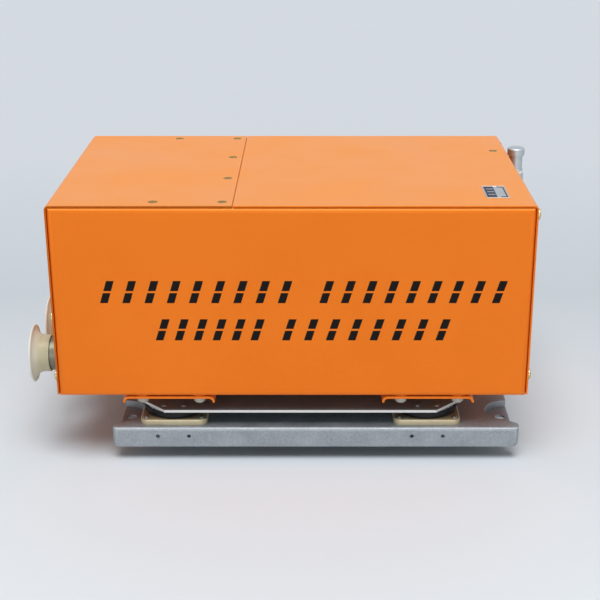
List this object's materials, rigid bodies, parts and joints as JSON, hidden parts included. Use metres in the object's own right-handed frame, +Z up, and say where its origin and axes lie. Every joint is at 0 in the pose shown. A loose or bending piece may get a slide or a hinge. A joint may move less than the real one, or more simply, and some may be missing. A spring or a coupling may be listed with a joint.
{
  "type": "flight data recorder",
  "caption": "Orange folded-sheet flight data recorder on rails and a suspended plate, with rubber isolators, a grey mounting tray, capped connectors and a capped pipe union.",
  "frame": {"origin": "middle of the whole footprint, on the lower edge of the tray", "axes": "+X to the right seen from the front, +Y to the rear, +Z up"},
  "size_m": [0.4472, 0.25, 0.2196],
  "materials": {
    "orange_paint": "semi-gloss paint on folded sheet",
    "passivated_screw": "yellow passivated",
    "bright_steel": "plain",
    "nickel_shell": "nickel plated, satin",
    "plate_metal": "satin",
    "grey_tray": "matt grey conversion coat, mottled",
    "cream_base": "matt cream paint",
    "black_rubber": "moulded",
    "cap_plastic": "soft, slightly translucent",
    "seal_plastic": "turned",
    "insert_plastic": "moulded",
    "contact_brass": "turned",
    "board_laminate": "coated laminate",
    "insulation": "pressed fibre",
    "cable_jacket": "extruded"
  },
  "bodies": {
    "root": {"chassis": "orange_paint", "left_cover": "orange_paint", "right_cover": "orange_paint", "cover_screws": "passivated_screw", "side_screws": "passivated_screw", "cover_nuts": "bright_steel", "bulkhead": "orange_paint", "data_plate": "plate_metal", "connector_bracket": "plate_metal", "connector_shell_front": "nickel_shell", "connector_shell_rear": "nickel_shell", "connector_insert_front": "insert_plastic", "connector_insert_rear": "insert_plastic", "connector_pins": "contact_brass", "connector_screws": "bright_steel", "connector_leads": "cable_jacket", "dust_cap_front": "cap_plastic", "dust_cap_rear": "cap_plastic", "union_elbow": "bright_steel", "union_seal": "seal_plastic", "union_cap": "bright_steel", "union_locknut": "bright_steel", "union_bracket": "orange_paint", "left_rail": "orange_paint", "right_rail": "orange_paint", "rail_bolts": "bright_steel", "rail_spacers": "plate_metal", "rail_washers": "bright_steel", "rail_nuts": "bright_steel", "suspended_plate": "grey_tray", "plate_rivets": "plate_metal", "base_rivets": "plate_metal", "mounting_tray": "grey_tray", "interface_board": "board_laminate", "processor_board": "board_laminate", "power_board": "board_laminate", "board_posts": "bright_steel", "board_screws": "bright_steel", "capsule_base": "bright_steel", "capsule_body": "orange_paint", "capsule_gasket": "black_rubber", "capsule_lid": "orange_paint", "lid_screws": "bright_steel", "foot_screws": "bright_steel", "insulation_cup": "insulation", "insulation_plug": "insulation", "memory_module": "insert_plastic", "memory_cable": "cable_jacket", "isolator_disc_fl": "bright_steel", "isolator_rubber_fl": "black_rubber", "isolator_base_fl": "cream_base", "isolator_disc_fr": "bright_steel", "isolator_rubber_fr": "black_rubber", "isolator_base_fr": "cream_base", "isolator_disc_rl": "bright_steel", "isolator_rubber_rl": "black_rubber", "isolator_base_rl": "cream_base", "isolator_disc_rr": "bright_steel", "isolator_rubber_rr": "black_rubber", "isolator_base_rr": "cream_base"}
  },
  "joints": []
}
